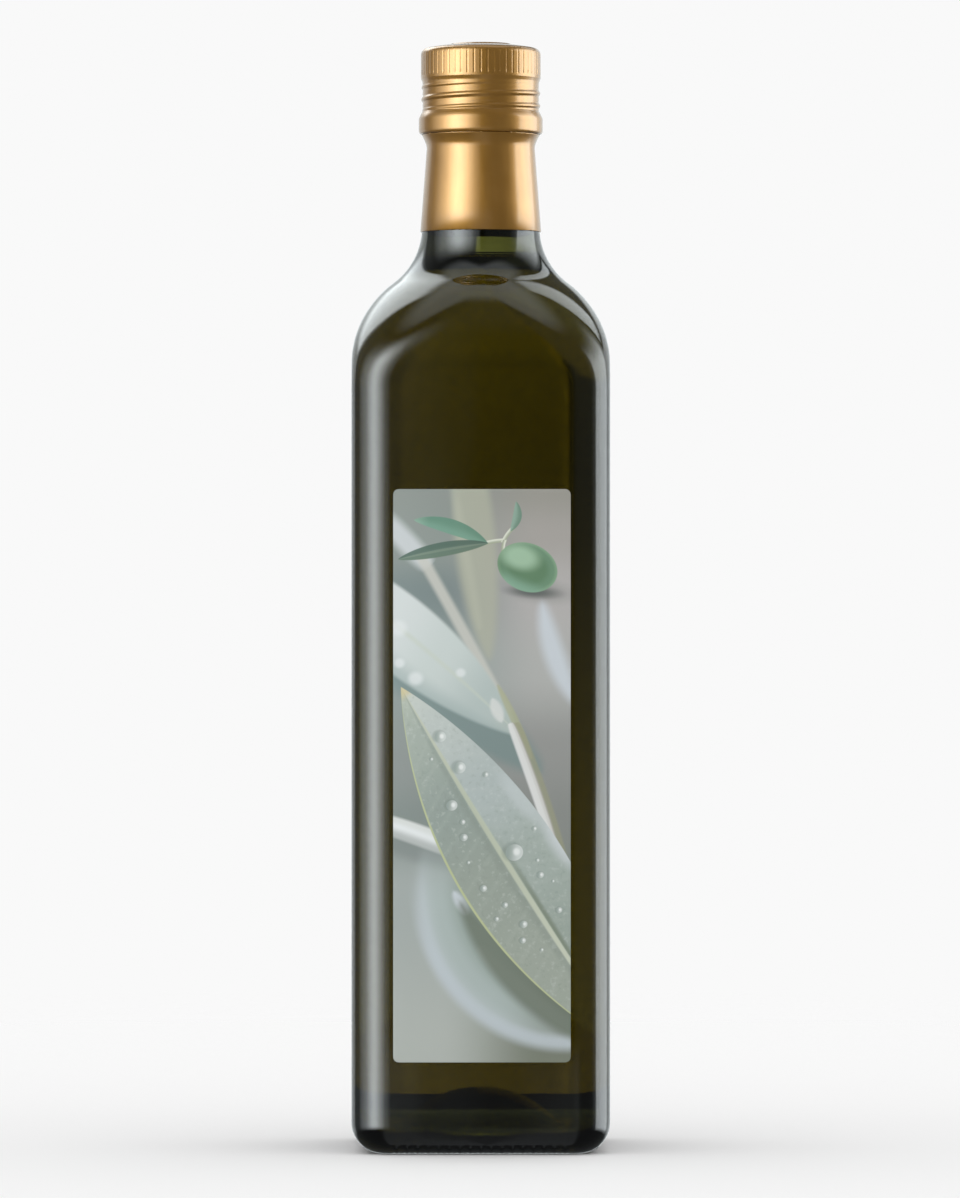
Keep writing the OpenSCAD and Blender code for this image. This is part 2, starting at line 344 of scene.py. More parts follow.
def blend_colour(share, low, high):
    made = node(share.id_data, "Mix", {"data_type": "RGBA"}, i0=share, i6=low, i7=high)
    return made.outputs[2]

def ease(value, low, high, a=0.0, b=1.0):
    """A smooth step of value from a at low to b at high."""
    made = node(value.id_data, "MapRange", {"interpolation_type": "SMOOTHSTEP"},
                i0=value, i1=low, i2=high, i3=a, i4=b)
    return made.outputs[0]

def rgb(r, g, b):
    """A colour as it is seen, 0 to 255, turned into the linear numbers that Blender takes."""
    return tuple((c / 255 / 12.92) if c <= 10 else ((c / 255 + 0.055) / 1.055) ** 2.4
                 for c in (r, g, b)) + (1.0,)

# %% [markdown]
# ## Glass and oil
# Green glass gets its colour inside, not on its surface: light loses red and blue for every
# millimetre it travels. So the surface is clear, and a Volume Absorption node takes the
# colour away. The oil does the same in yellow. A faint bump stands for the waviness that a
# mould leaves in cheap glass; without it every reflection would be ruler-straight.

# %% Waviness, a group that several finishes share
def wavy_group():
    """Noise on Object coordinates as a height: Scale sets its size, Stretch how tall it is."""
    group = bpy.data.node_groups.new("Waviness", "ShaderNodeTree")
    for name, default in (("Scale", 40.0), ("Stretch", 1.0), ("Detail", 2.0)):
        socket = group.interface.new_socket(name, in_out="INPUT", socket_type="NodeSocketFloat")
        socket.default_value = default
    group.interface.new_socket("Height", in_out="OUTPUT", socket_type="NodeSocketFloat")
    given = group.nodes.new("NodeGroupInput").outputs
    coords = node(group, "TexCoord").outputs["Object"]
    size = node(group, "CombineXYZ", i0=1.0, i1=1.0, i2=given["Stretch"]).outputs[0]
    place = node(group, "VectorMath", {"operation": "MULTIPLY"}, i0=coords, i1=size).outputs[0]
    waves = node(group, "TexNoise", Vector=place, Scale=given["Scale"],
                 Detail=given["Detail"]).outputs[0]
    result = group.nodes.new("NodeGroupOutput")
    group.links.new(waves, result.inputs["Height"])
    return group

WAVES = wavy_group()

def waves(tree, scale, stretch=1.0, detail=2.0):
    made = node(tree, "Group", {"node_tree": WAVES},
                Scale=scale, Stretch=stretch, Detail=detail)
    return made.outputs["Height"]

def bump(height, distance):
    made = node(height.id_data, "Bump", Strength=1.0, Distance=distance, Height=height)
    return made.outputs[0]

# %% A clear finish that absorbs light
def clear_finish(name, ior, density, colour):
    material, tree, shader = new_material(name)
    feed(tree, shader, "Base Color", (1, 1, 1, 1))
    feed(tree, shader, "Transmission Weight", 1.0)
    feed(tree, shader, "IOR", ior)
    absorption = node(tree, "VolumeAbsorption", Color=colour, Density=density)
    tree.links.new(absorption.outputs[0], tree.nodes["Material Output"].inputs["Volume"])
    return material, tree, shader

GLASS_IOR, GLASS_DENSITY, GREEN = 1.52, 500.0, (0.54, 0.54, 0.20, 1)
OIL_IOR, OIL_DENSITY, YELLOW = 1.47, 110.0, (0.76, 0.70, 0.10, 1)
green_glass, tree, shader = clear_finish("green_glass", GLASS_IOR, GLASS_DENSITY, GREEN)
mould_waves = waves(tree, 35.0, 0.5)
fine_waves = waves(tree, 300.0, 1.0)
feed(tree, shader, "Normal", bump(mould_waves, 0.04 * MM))
feed(tree, shader, "Roughness", ease(fine_waves, 0.3, 0.7, 0.0, 0.01))

oil, tree, shader = clear_finish("oil", OIL_IOR, OIL_DENSITY, YELLOW)
feed(tree, shader, "Roughness", ease(waves(tree, 60.0), 0.3, 0.7, 0.0, 0.01))
print("glass and oil ready")

# %% [markdown]
# ## Gold lacquer on aluminium
# The cap and sleeve are aluminium under a tinted lacquer. The metal's own shine is broad and
# deep gold; the lacquer over it is glossy and colourless, so bright lights show pale on it
# while the shaded parts stay brown. A coat over a rougher metal gives exactly those two.

# %% The gold finish
DEEP_GOLD, PALE_GOLD = (0.292, 0.138, 0.015, 1), (0.316, 0.153, 0.021, 1)
gold_metal, tree, shader = new_material("gold_metal")
grain = waves(tree, 900.0, 0.15, 3.0)
rolled = waves(tree, 120.0, 1.0, 2.0)
feed(tree, shader, "Base Color",
     blend_colour(ease(rolled, 0.3, 0.7), DEEP_GOLD, PALE_GOLD))
feed(tree, shader, "Metallic", 0.6)
feed(tree, shader, "Roughness", ease(grain, 0.3, 0.7, 0.33, 0.40))
feed(tree, shader, "Coat Weight", 0.8)
feed(tree, shader, "Coat Roughness", 0.13)
feed(tree, shader, "Coat IOR", 1.55)
feed(tree, shader, "Normal", bump(grain, 0.004 * MM))
print("gold ready")

# %% [markdown]
# ## The bottle
# The glass is one closed skin: up the outside, over the lip, down the bore and round the floor
# of the hollow. The oil is a second skin. It reaches a fifth of a millimetre into the wall, so
# light goes straight from glass to oil with no film of air between them, which would look
# silvery. Its surface turns up where it meets the glass, as oil does.

# %% Make the glass
bm = bmesh.new()
loft(bm, stations(16, 16 * RIB_STEPS + 8), glass_sections(), PUNT_H, punt_centre + dome_ball,
     place=glass_point)
make_piece("bottle_glass", bm, "glass_bottle", green_glass)

# %% Make the oil
OIL_GROW = 0.2 * MM
MENISCUS_H = 1.5 * MM
MENISCUS_REACH = 1.7 * MM

def oil_sections():
    """The hollow up to the level, where the surface turns up, then in to the axis."""
    sections = hollow(OIL_GROW, 8)
    wet = [s for s in sections if s[1] < OIL_Z]
    above, below = sections[len(wet)], wet[-1]
    rim = below[0] + (above[0] - below[0]) * (OIL_Z - below[1]) / (above[1] - below[1])
    top = [(rim * s, OIL_Z + MENISCUS_H * math.exp(-rim * (1 - s) / MENISCUS_REACH), 0.0)
           for s in (1.0, 0.97, 0.93, 0.88, 0.82, 0.74, 0.64, 0.5, 0.3)]
    climb = rim + (above[0] - below[0]) * MENISCUS_H / (above[1] - below[1])
    return wet + [(rim, OIL_Z, 0.0), (climb, OIL_Z + MENISCUS_H, 0.0)] + top[1:]

bm = bmesh.new()
loft(bm, stations(12, 12), oil_sections(), punt_centre + dome_ball - OIL_GROW, OIL_Z)
make_piece("oil_fill", bm, "olive_oil", oil)

# %% [markdown]
# ## The cap
# A screw cap is drawn from sheet, then rolled on the bottle: the thread shows through as a
# ridge that climbs round the waist, and a knurled band above it gives the fingers a grip. A
# spun profile gives the round shape, and the thread and the knurl then move its vertices in or
# out, because neither of them is round.

# %% Spin a profile round the axis
def spin_profile(bm, profile, steps):
    """Spins (radius, height) points a quarter turn, copies that round, and closes the seams."""
    verts = [bm.verts.new((r, 0, z)) for r, z in profile]
    edges = [bm.edges.new(pair) for pair in zip(verts, verts[1:])]
    bmesh.ops.spin(bm, geom=verts + edges, cent=(0, 0, 0), axis=(0, 0, 1), steps=steps // 4,
                   angle=math.pi / 2)
    quarter = bm.verts[:] + bm.edges[:] + bm.faces[:]
    for turn in (1, 2, 3):
        copy = bmesh.ops.duplicate(bm, geom=quarter)["geom"]
        bmesh.ops.rotate(bm, verts=verts_of(copy),
                         cent=(0, 0, 0), matrix=Matrix.Rotation(turn * math.pi / 2, 3, "Z"))
    bmesh.ops.remove_doubles(bm, verts=bm.verts, dist=1e-7)
    face_outwards(bm)

def smooth_line(points, step):
    """Fills a line of (radius, height) points with a smooth curve, in millimetres."""
    ends = [points[0]] + points + [points[-1]]
    made = []
    for a, b, c, d in zip(ends, ends[1:], ends[2:], ends[3:]):
        count = max(1, round(math.dist(b, c) / step))
        for k in range(count):
            t = k / count
            made.append(tuple(0.5 * (2 * q + (r - p) * t + (2 * p - 5 * q + 4 * r - s) * t * t
                                     + (3 * q - p - 3 * r + s) * t ** 3)
                              for p, q, r, s in zip(a, b, c, d)))
    return made + [points[-1]]

# %% The cap's profile, in millimetres above its lower edge
CAP_H = (cap_high.z - cap_low.z) / MM
BAND_STEPS = 16
BEAD_R = cap_high.x / MM
KNURL_R = BEAD_R - 0.55
WAIST_R = KNURL_R - 0.45
KNURL_FOOT = 15.6
CROWN_FALL = 1.1
CROWN_EDGE_R = 1.9
KNURL_TOP = CAP_H - CROWN_FALL - CROWN_EDGE_R
CROWN_FLAT_R = 8.0
SEAT = CAP_H - 2.3
skirt = smooth_line([(BEAD_R - 0.7, 0), (BEAD_R - 0.22, 0.3), (BEAD_R, 1.1), (BEAD_R, 2.6),
                     (BEAD_R - 0.02, 4.0), (BEAD_R - 0.32, 4.9), (WAIST_R + 0.2, 5.8),
                     (WAIST_R, 6.5), (WAIST_R, 9.9), (WAIST_R, 13.2), (KNURL_R - 0.2, 14.3),
                     (KNURL_R - 0.02, 14.8), (KNURL_R, KNURL_FOOT)], 0.16)
band = [(KNURL_R, height) for height in span(KNURL_FOOT, KNURL_TOP, BAND_STEPS)[1:]]
crown_edge = [(KNURL_R - CROWN_EDGE_R * (1 - math.cos(a)), KNURL_TOP + CROWN_EDGE_R * math.sin(a))
              for a in span(0, math.pi / 2, 12)[1:]]
crown = smooth_line([crown_edge[-1], (11.2, CAP_H - 0.62),
                     (CROWN_FLAT_R + 0.45, CAP_H - 0.3)], 0.5)[1:]
plate = [(CROWN_FLAT_R + 0.25, CAP_H - 0.24), (CROWN_FLAT_R + 0.1, CAP_H - 0.08),
         (CROWN_FLAT_R - 0.1, CAP_H), (CROWN_FLAT_R - 0.5, CAP_H), (4.0, CAP_H), (0, CAP_H)]
inside = [(0, SEAT), (WAIST_R - 0.3, SEAT), (WAIST_R - 0.3, 6.0), (BEAD_R - 1.0, 5.0),
          (BEAD_R - 1.0, 0.1)]
cap_profile = [(r * MM, cap_low.z + h * MM)
               for r, h in inside + skirt + band + crown_edge + crown + plate]

# %% Thread and knurl
KNURL_COUNT = 56
KNURL_STEPS = 10
KNURL_DEPTH = 0.18
THREAD_PITCH = 3.3
THREAD_AT_FRONT = 10.0
THREAD_W = 1.9
THREAD_OUT = 0.36
THREAD_DIP = 0.05
THREAD_FOOT, THREAD_TOP = 5.8, 13.6

def thread_height(turn, height):
    """How far the rolled thread stands out at a turn (0 at the front) and a height."""
    above = height - THREAD_AT_FRONT - THREAD_PITCH * turn / (2 * math.pi)
    above -= THREAD_PITCH * round(above / THREAD_PITCH)
    ridge = math.cos(math.pi * above / THREAD_W) ** 2 if abs(above) < THREAD_W / 2 else 0.0
    window = smooth((height - THREAD_FOOT) / 1.2) * smooth((THREAD_TOP - height) / 1.6)
    valley = max(0.0, math.cos(math.pi * (abs(above) - THREAD_W / 2) / THREAD_W)) ** 4
    return (THREAD_OUT * ridge - THREAD_DIP * valley) * window

def knurl_radius(turn, height):
    """Flat facets with a narrow groove between each two of them, deeper at its foot."""
    pitch = 2 * math.pi / KNURL_COUNT
    within = turn - pitch * math.floor(turn / pitch)
    facet = KNURL_R * math.cos(pitch / 2) / math.cos(within - pitch / 2)
    step = min(within, pitch - within) / (pitch / KNURL_STEPS)
    at_foot = 1 - smooth((height - KNURL_FOOT - 0.2) / 0.8)
    deep = KNURL_DEPTH * (0.6 + 0.4 * at_foot)
    groove = deep if step < 0.5 else 0.02 if step < 1.5 else 0.0
    window = smooth((height - KNURL_FOOT + 0.25) / 0.35) * smooth((KNURL_TOP + 1.1 - height) / 0.9)
    return (facet - groove - KNURL_R) * window

def shape_cap(bm):
    """Moves the outer vertices of the waist and the band; the rest of the cap is round."""
    for vert in bm.verts:
        radius = math.hypot(vert.co.x, vert.co.y) / MM
        height = (vert.co.z - cap_low.z) / MM
        if radius < WAIST_R - 0.1 or not THREAD_FOOT - 0.3 < height < KNURL_TOP + 1.2:
            continue
        turn = math.atan2(vert.co.x, -vert.co.y)
        moved = radius + thread_height(turn, height) + knurl_radius(turn, height)
        vert.co.x *= moved / radius
        vert.co.y *= moved / radius

bm = bmesh.new()
spin_profile(bm, cap_profile, KNURL_COUNT * KNURL_STEPS)
shape_cap(bm)
make_piece("metal_cap", bm, "screw_cap", gold_metal)

# %% [markdown]
# ## The sleeve
# The sleeve is a thin skirt of the same sheet, pressed on the neck. Its upper edge flares out
# under the cap, and a row of small bridges joins the two until the cap is first turned. The
# sheet is spun with its thickness, then twelve faces of its top edge are extruded as bridges.

# %% Make the sleeve
BRIDGES = 12
SLEEVE_STEPS = 360
SLEEVE_T = 0.25
SLEEVE_GAP = 0.15
TEAR_LINE = 0.1
BRIDGE_REACH = 0.05
FLARE_H = 3.6
sleeve_top = (cap_low.z - sleeve_low.z) / MM - TEAR_LINE
flare_foot = sleeve_top - FLARE_H

def neck_radius(height):
    """Inside radius of the sleeve at a height above the foot of the neck, in millimetres."""
    return NECK_R / MM + SLEEVE_GAP - height * math.tan(NECK_LEAN)

flare_r = BEAD_R - 0.8 - SLEEVE_T
waist_r = neck_radius(flare_foot)
widening = flare_r - waist_r
inner_line = [(neck_radius(0), 0.0), (neck_radius(8), 8.0), (neck_radius(16), 16.0)]
inner_line += smooth_line([(waist_r, flare_foot), (waist_r + 0.12 * widening, flare_foot + 1.0),
                           (waist_r + 0.5 * widening, flare_foot + 2.3),
                           (flare_r, sleeve_top)], 0.3)
outer_line = [(r + SLEEVE_T, h) for r, h in reversed(inner_line)]
outer_line[-1:] = [(outer_line[-1][0] - 0.02, 0.12), (outer_line[-1][0] - 0.12, 0.0)]
sleeve_profile = [(r * MM, sleeve_low.z + h * MM) for r, h in inner_line + outer_line]
bm = bmesh.new()
spin_profile(bm, sleeve_profile + [sleeve_profile[0]], SLEEVE_STEPS)
almost_top = sleeve_low.z + (sleeve_top - 0.01) * MM
top_ring = [f for f in bm.faces if all(v.co.z > almost_top for v in f.verts)]
top_ring.sort(key=lambda f: math.atan2(f.calc_center_median().y, f.calc_center_median().x))
tabs = bmesh.ops.extrude_discrete_faces(bm, faces=top_ring[::len(top_ring) // BRIDGES])["faces"]
bmesh.ops.translate(bm, verts=list({v for f in tabs for v in f.verts}),
                    vec=(0, 0, (TEAR_LINE + BRIDGE_REACH) * MM))
make_piece("neck_skirt", bm, "neck_sleeve", gold_metal)

# %% [markdown]
# ## The label's print
# The label carries a soft picture of silvery leaves with drops of water, and above it a sprig
# with one olive. It is built as a printer builds up inks: a ground, then one shape over
# another, each a mask that mixes a new colour in. Two groups draw nearly everything. Leaf is a
# long lens between two points; with no taper it is a straight band, which serves for stems.
# Drop is a turned ellipse. All places are in millimetres from the label's lower left corner.

# %% The Leaf group
LEAF_INPUTS = ("U", "V", "Start U", "Start V", "End U", "End V", "Width", "Bend", "Taper",
               "Softness")

def new_group(name, inputs, outputs):
    group = bpy.data.node_groups.new(name, "ShaderNodeTree")
    for each in inputs:
        group.interface.new_socket(each, in_out="INPUT", socket_type="NodeSocketFloat")
    for each in outputs:
        group.interface.new_socket(each, in_out="OUTPUT", socket_type="NodeSocketFloat")
    return group, group.nodes.new("NodeGroupInput").outputs, group.nodes.new("NodeGroupOutput")

def leaf_group():
    """Mask, place Across (-1 to 1) and place Along (0 to 1) of a lens with a bent middle line."""
    tree, given, result = new_group("Leaf", LEAF_INPUTS, ("Mask", "Across", "Along"))
    du = minus(given["End U"], given["Start U"])
    dv = minus(given["End V"], given["Start V"])
    pu = minus(given["U"], given["Start U"])
    pv = minus(given["V"], given["Start V"])
    length = maths("SQRT", plus(times(du, du), times(dv, dv)))
    dot = plus(times(pu, du), times(pv, dv))
    cross = minus(times(du, pv), times(dv, pu))
    along = ratio(ratio(dot, length), length)
    inside = node(tree, "Clamp", i0=along).outputs[0]
    arch = times(times(inside, 4.0), minus(1.0, inside))
    across = minus(ratio(cross, length), times(arch, given["Bend"]))
    swell = maths("POWER", maths("MAXIMUM", arch, 0.0001), given["Taper"])
    half = times(given["Width"], swell)
    room = minus(half, size_of(across))
    body = ease(ratio(room, given["Softness"]), -0.5, 0.5)
    end = size_of(minus(along, 0.5))
    left_over = times(minus(0.5, end), length)
    keep = ease(ratio(left_over, given["Softness"]), -0.5, 0.5)
    tree.links.new(times(body, keep), result.inputs["Mask"])
    tree.links.new(ratio(across, half), result.inputs["Across"])
    tree.links.new(along, result.inputs["Along"])
    return tree

# %% The Drop group
DROP_INPUTS = ("U", "V", "Middle U", "Middle V", "Radius U", "Radius V", "Turn", "Softness")

def drop_group():
    """Mask of an ellipse, its Reach (0 in the middle, 1 at its edge), and its own U and V."""
    tree, given, result = new_group("Drop", DROP_INPUTS, ("Mask", "Reach", "Own U", "Own V"))
    pu = minus(given["U"], given["Middle U"])
    pv = minus(given["V"], given["Middle V"])
    c, s = maths("COSINE", given["Turn"]), maths("SINE", given["Turn"])
    u = ratio(plus(times(pu, c), times(pv, s)), given["Radius U"])
    v = ratio(minus(times(pv, c), times(pu, s)), given["Radius V"])
    reach = maths("SQRT", plus(times(u, u), times(v, v)))
    room = times(minus(1.0, reach), given["Radius V"])
    mask = ease(ratio(room, given["Softness"]), -0.5, 0.5)
    for value, name in ((mask, "Mask"), (reach, "Reach"), (u, "Own U"), (v, "Own V")):
        tree.links.new(value, result.inputs[name])
    return tree

LEAF = leaf_group()
DROP = drop_group()

# %% Ink helpers
label_paper, ink, shader = new_material("label_paper")
coords = node(ink, "TexCoord").outputs["Object"]
corner = node(ink, "Mapping", {"vector_type": "POINT"}, Vector=coords,
              Location=(-label_low.x / MM, 0, -label_low.z / MM), Scale=(1 / MM, 1 / MM, 1 / MM))
apart = node(ink, "SeparateXYZ", i0=corner.outputs[0])
U, V = apart.outputs["X"], apart.outputs["Z"]

def leaf(start, end, width, bend=0.0, taper=1.0, soft=0.3):
    made = node(ink, "Group", {"node_tree": LEAF}, U=U, V=V, Width=width, Bend=bend,
                Taper=taper, Softness=soft, Start_U=start[0], Start_V=start[1],
                End_U=end[0], End_V=end[1])
    return made.outputs

def drop(middle, radii, turn=0.0, soft=0.3):
    made = node(ink, "Group", {"node_tree": DROP}, U=U, V=V, Middle_U=middle[0],
                Middle_V=middle[1], Radius_U=radii[0], Radius_V=radii[1],
                Turn=math.radians(turn), Softness=soft)
    return made.outputs

def over(below, colour, mask, strength=1.0):
    """Prints a colour over what is there, as strongly as the mask says."""
    share = mask if strength == 1.0 else times(mask, strength)
    return blend_colour(share, below, colour)

def print_leaf(below, seen, strength, *shape):
    """One soft leaf or band of a colour, 0 to 255, with leaf()'s numbers for its shape."""
    return over(below, rgb(*seen), leaf(*shape)["Mask"], strength)

def print_drop(below, seen, strength, *shape):
    return over(below, rgb(*seen), drop(*shape)["Mask"], strength)

def fade(value, stops):
    """A Color Ramp: stops are (place, red, green, blue), the colours 0 to 255."""
    made = node(ink, "ValToRGB", i0=value)
    made.color_ramp.interpolation = "EASE"
    elements = made.color_ramp.elements
    for k, (place, *seen) in enumerate(stops):
        element = elements[k] if k < 2 else elements.new(place)
        element.position = place
        element.color = rgb(*seen)
    return made.outputs[0]

# %% The ground
LABEL_W = (label_high.x - label_low.x) / MM
LABEL_H = (label_high.z - label_low.z) / MM
rise = ratio(V, LABEL_H)
left = fade(rise, [(0.0, 177, 183, 177), (1.0, 136, 143, 138), (0.3, 160, 168, 165),
                   (0.42, 128, 138, 134), (0.52, 138, 145, 142), (0.7, 140, 153, 150),
                   (0.82, 118, 131, 130), (0.9, 136, 145, 140)])
right = fade(rise, [(0.0, 122, 128, 114), (1.0, 150, 149, 141), (0.16, 130, 139, 128),
                    (0.3, 124, 133, 120), (0.42, 134, 138, 134), (0.55, 146, 148, 145),
                    (0.68, 172, 174, 171), (0.82, 176, 174, 172), (0.92, 163, 160, 155)])
over_width = ratio(U, LABEL_W)
art = blend_colour(ease(over_width, 0.25, 0.85), left, right)

# %% Far leaves and stems, out of focus
# A pale leaf
art = print_leaf(art, (202, 211, 218), 0.8, (38.5, 120.0), (48.0, 92.0), 2.6, -1.5, 0.7, 3.6)
# A hazy stem
art = print_leaf(art, (204, 210, 212), 0.85, (-4.0, 142.5), (9.5, 128.5), 2.6, 0.0, 0.2, 3.0)
# A broad leaf
art = print_leaf(art, (172, 175, 157), 0.75, (19.5, 166.0), (25.0, 104.0), 5.2, -1.0, 0.8, 3.0)
# Its edge
art = print_leaf(art, (186, 190, 172), 0.35, (15.0, 152.0), (22.5, 112.0), 1.2, 0.0, 0.3, 2.2)
# Stalk
art = print_leaf(art, (196, 197, 189), 0.85, (7.0, 131.5), (29.5, 90.5), 1.35, 0.3, 0.0, 1.6)

# %% The large leaf behind
# Shade below the back leaf
art = print_leaf(art, (120, 139, 137), 0.9, (-8.0, 109.0), (39.0, 75.0), 7.0, 1.0, 0.7, 4.5)
back = leaf((-31.5, 136.5), (33.0, 84.5), 9.6, 1.2, 0.9, 1.3)
back_colour = fade(back["Along"], [(0.45, 207, 214, 213), (1.0, 172, 184, 178),
                                   (0.65, 196, 206, 203), (0.85, 176, 189, 186)])
back_colour = over(back_colour, rgb(163, 178, 176), ease(back["Across"], -0.35, -1.0), 0.8)
back_rib = ease(size_of(plus(back["Across"], -0.1)), 0.12, 0.0)
back_colour = over(back_colour, rgb(194, 203, 190), back_rib, 0.55)
art = over(art, back_colour, back["Mask"])
for place, size in (((1.2, 112.5), 2.2), ((5.8, 99.5), 1.8), ((17.5, 101.0), 1.2),
                    ((1.6, 103.5), 1.3)):
    art = print_drop(art, (224, 229, 229), 0.7, place, (size, size * 0.9), 0, size * 0.9)  # bead
# Leaf edge
art = print_leaf(art, (168, 172, 140), 0.8, (27.0, 98.0), (36.0, 78.5), 1.0, 0.2, 0.5, 0.8)
# Node knot
art = print_leaf(art, (214, 217, 214), 0.8, (25.6, 94.5), (28.2, 88.0), 1.5, 0.0, 0.8, 1.2)

# %% The near stem on the right
# Stem side
art = print_leaf(art, (150, 152, 126), 0.75, (31.5, 88.0), (44.5, 50.0), 1.75, 0.5, 0.15, 0.8)
stem = leaf((30.4, 88.0), (43.4, 50.0), 1.35, 0.5, 0.15, 0.7)
stem_shade = fade(stem["Across"], [(0.0, 217, 219, 217), (1.0, 168, 166, 158),
                                   (0.5, 205, 206, 203)])
art = over(art, stem_shade, stem["Mask"], 0.95)
print("far leaves printed")

# %% The petiole and the low leaf on the left
# Petiole shade
art = print_leaf(art, (126, 135, 132), 0.7, (-4.0, 58.0), (18.0, 51.0), 2.6, 0.0, 0.2, 3.5)
petiole = leaf((-6.0, 63.0), (19.0, 54.0), 2.7, 0.4, 0.15, 1.0)
petiole_tone = fade(ease(petiole["Across"], -1.0, 1.0),
                    [(0.0, 178, 184, 182), (1.0, 214, 219, 216), (0.6, 226, 231, 231)])
art = over(art, petiole_tone, petiole["Mask"])
low_leaf = drop((45.0, 46.5), (38.6, 41.4), 0, 3.5)
low_tone = fade(low_leaf["Reach"], [(0.35, 132, 145, 138), (1.0, 182, 193, 194),
                                    (0.7, 147, 161, 154), (0.86, 170, 183, 180)])
low_band = times(low_leaf["Mask"], ease(rise, 0.40, 0.27))
low_band = times(low_band, ease(over_width, 1.0, 0.55, 0.35, 0.95))
art = over(art, low_tone, low_band)
low_rim = drop((44.5, 45.5), (38.8, 41.3), 0, 2.6)
rim_in, rim_out = ease(low_rim["Reach"], 0.90, 0.97), ease(low_rim["Reach"], 1.06, 0.985)
rim_fade = times(times(rim_in, rim_out), ease(rise, 0.36, 0.16))
art = over(art, rgb(190, 200, 205), rim_fade, 0.85)
# Its second vein
art = print_leaf(art, (166, 176, 168), 0.8, (22.0, 30.0), (52.0, 5.0), 1.7, -1.2, 0.3, 2.4)
# A bright spot
art = print_leaf(art, (205, 213, 219), 0.8, (15.5, 44.5), (19.5, 38.0), 1.3, 0.0, 0.7, 1.6)
# Shade of the front leaf
art = print_leaf(art, (108, 118, 104), 0.85, (17.0, 42.0), (57.0, 3.0), 4.2, -4.0, 0.7, 3.4)

# %% The sharp leaf in front
front = leaf((2.0, 97.3), (62.0, 2.3), 14.2, -1.1, 0.97, 0.25)
across, along = front["Across"], front["Along"]
upper = fade(along, [(0.0, 196, 203, 196), (0.9, 160, 170, 160), (0.12, 184, 193, 189),
                     (0.3, 172, 183, 181), (0.5, 160, 172, 165), (0.7, 152, 164, 155)])
lower = fade(along, [(0.0, 176, 185, 172), (0.9, 158, 167, 155), (0.12, 160, 171, 162),
                     (0.3, 146, 158, 151), (0.5, 150, 160, 150), (0.7, 156, 165, 154)])
front_art = blend_colour(ease(across, -0.03, 0.03), lower, upper)
slant = plus(times(along, 62.0), times(size_of(across), -3.6))
vein = maths("POWER", size_of(maths("SINE", slant)), 14.0)
front_art = over(front_art, rgb(196, 204, 196), vein, 0.07)
speckle = node(ink, "TexNoise", Vector=corner.outputs[0], Scale=0.9, Detail=5.0).outputs[0]
front_art = over(front_art, rgb(122, 134, 124), ease(speckle, 0.55, 0.75), 0.22)
front_art = over(front_art, rgb(205, 212, 208), ease(speckle, 0.45, 0.28), 0.25)
# Curl
front_art = print_drop(front_art, (206, 213, 216), 0.75, (45.5, 57.0), (9.0, 4.2), -52, 4.0)
# Sheen
front_art = print_drop(front_art, (192, 201, 201), 0.7, (33.5, 68.5), (8.0, 2.6), -50, 3.0)
fold = ease(size_of(plus(across, -0.09)), 0.10, 0.0)
fold = times(fold, ease(along, 0.35, 0.6))
front_art = over(front_art, rgb(112, 124, 104), fold, 0.7)
trough = ease(size_of(plus(across, 0.12)), 0.14, 0.0)
front_art = over(front_art, rgb(128, 140, 130), trough, 0.35)
midrib = ease(size_of(across), 0.07, 0.03)
rib_tone = fade(along, [(0.0, 190, 196, 180), (0.9, 202, 208, 190), (0.35, 184, 192, 172)])
front_art = over(front_art, rib_tone, midrib, 0.92)
rim_line = times(ease(across, -0.945, -0.975), ease(along, 0.0, 0.05))
front_art = over(front_art, rgb(186, 194, 148), rim_line, 0.9)
tip = ease(along, 0.035, 0.012)
front_art = over(front_art, rgb(205, 194, 148), tip, 0.8)
art = over(art, front_art, front["Mask"])
print("front leaf printed")

# %% Drops of water on it
DROPS = (((15.2, 66.6), 1.45), ((31.4, 54.4), 2.3), ((12.2, 84.4), 1.5), ((17.2, 76.4), 1.6),
         ((18.0, 62.3), 0.7), ((18.3, 58.3), 1.0), ((38.2, 48.6), 0.85), ((29.0, 40.8), 0.75),
         ((33.8, 35.8), 1.0), ((33.6, 31.6), 0.8), ((43.0, 39.5), 0.8), ((23.4, 45.1), 0.9),
         ((26.8, 37.2), 0.6), ((38.5, 29.2), 0.45), ((41.4, 47.0), 0.4), ((36.6, 60.6), 0.6),
         ((24.0, 74.6), 0.7), ((9.9, 78.6), 0.45), ((19.5, 51.8), 0.45), ((37.4, 52.4), 0.5))
for (u, v), size in DROPS:
    water = drop((u, v), (size, size * 0.92), 20, 0.22)
    shade_at, shade_size = (u - 0.28 * size, v + 0.1 * size), (size * 1.15, size * 1.05)
    art = print_drop(art, (118, 131, 124), 0.42, shade_at, shade_size, 20, size * 0.5)
    slope = plus(water["Own U"], times(water["Own V"], -0.45))
    lit = ease(slope, -0.9, 0.7)
    art = over(art, blend_colour(lit, rgb(150, 163, 157), rgb(206, 213, 210)), water["Mask"], 0.85)
    glint_at, glint_size = (u + 0.25 * size, v + 0.1 * size), (size * 0.36, size * 0.4)
    art = print_drop(art, (234, 238, 236), 0.75, glint_at, glint_size, 0, size * 0.45)

# %% The sprig and its olive
def twig(start, end, width, bend=0.0):
    made = leaf(start, end, width, bend, 0.0, 0.25)
    tone = fade(ease(made["Across"], -1.0, 1.0),
                [(0.0, 160, 168, 146), (1.0, 214, 218, 204)])
    return over(art, tone, made["Mask"])

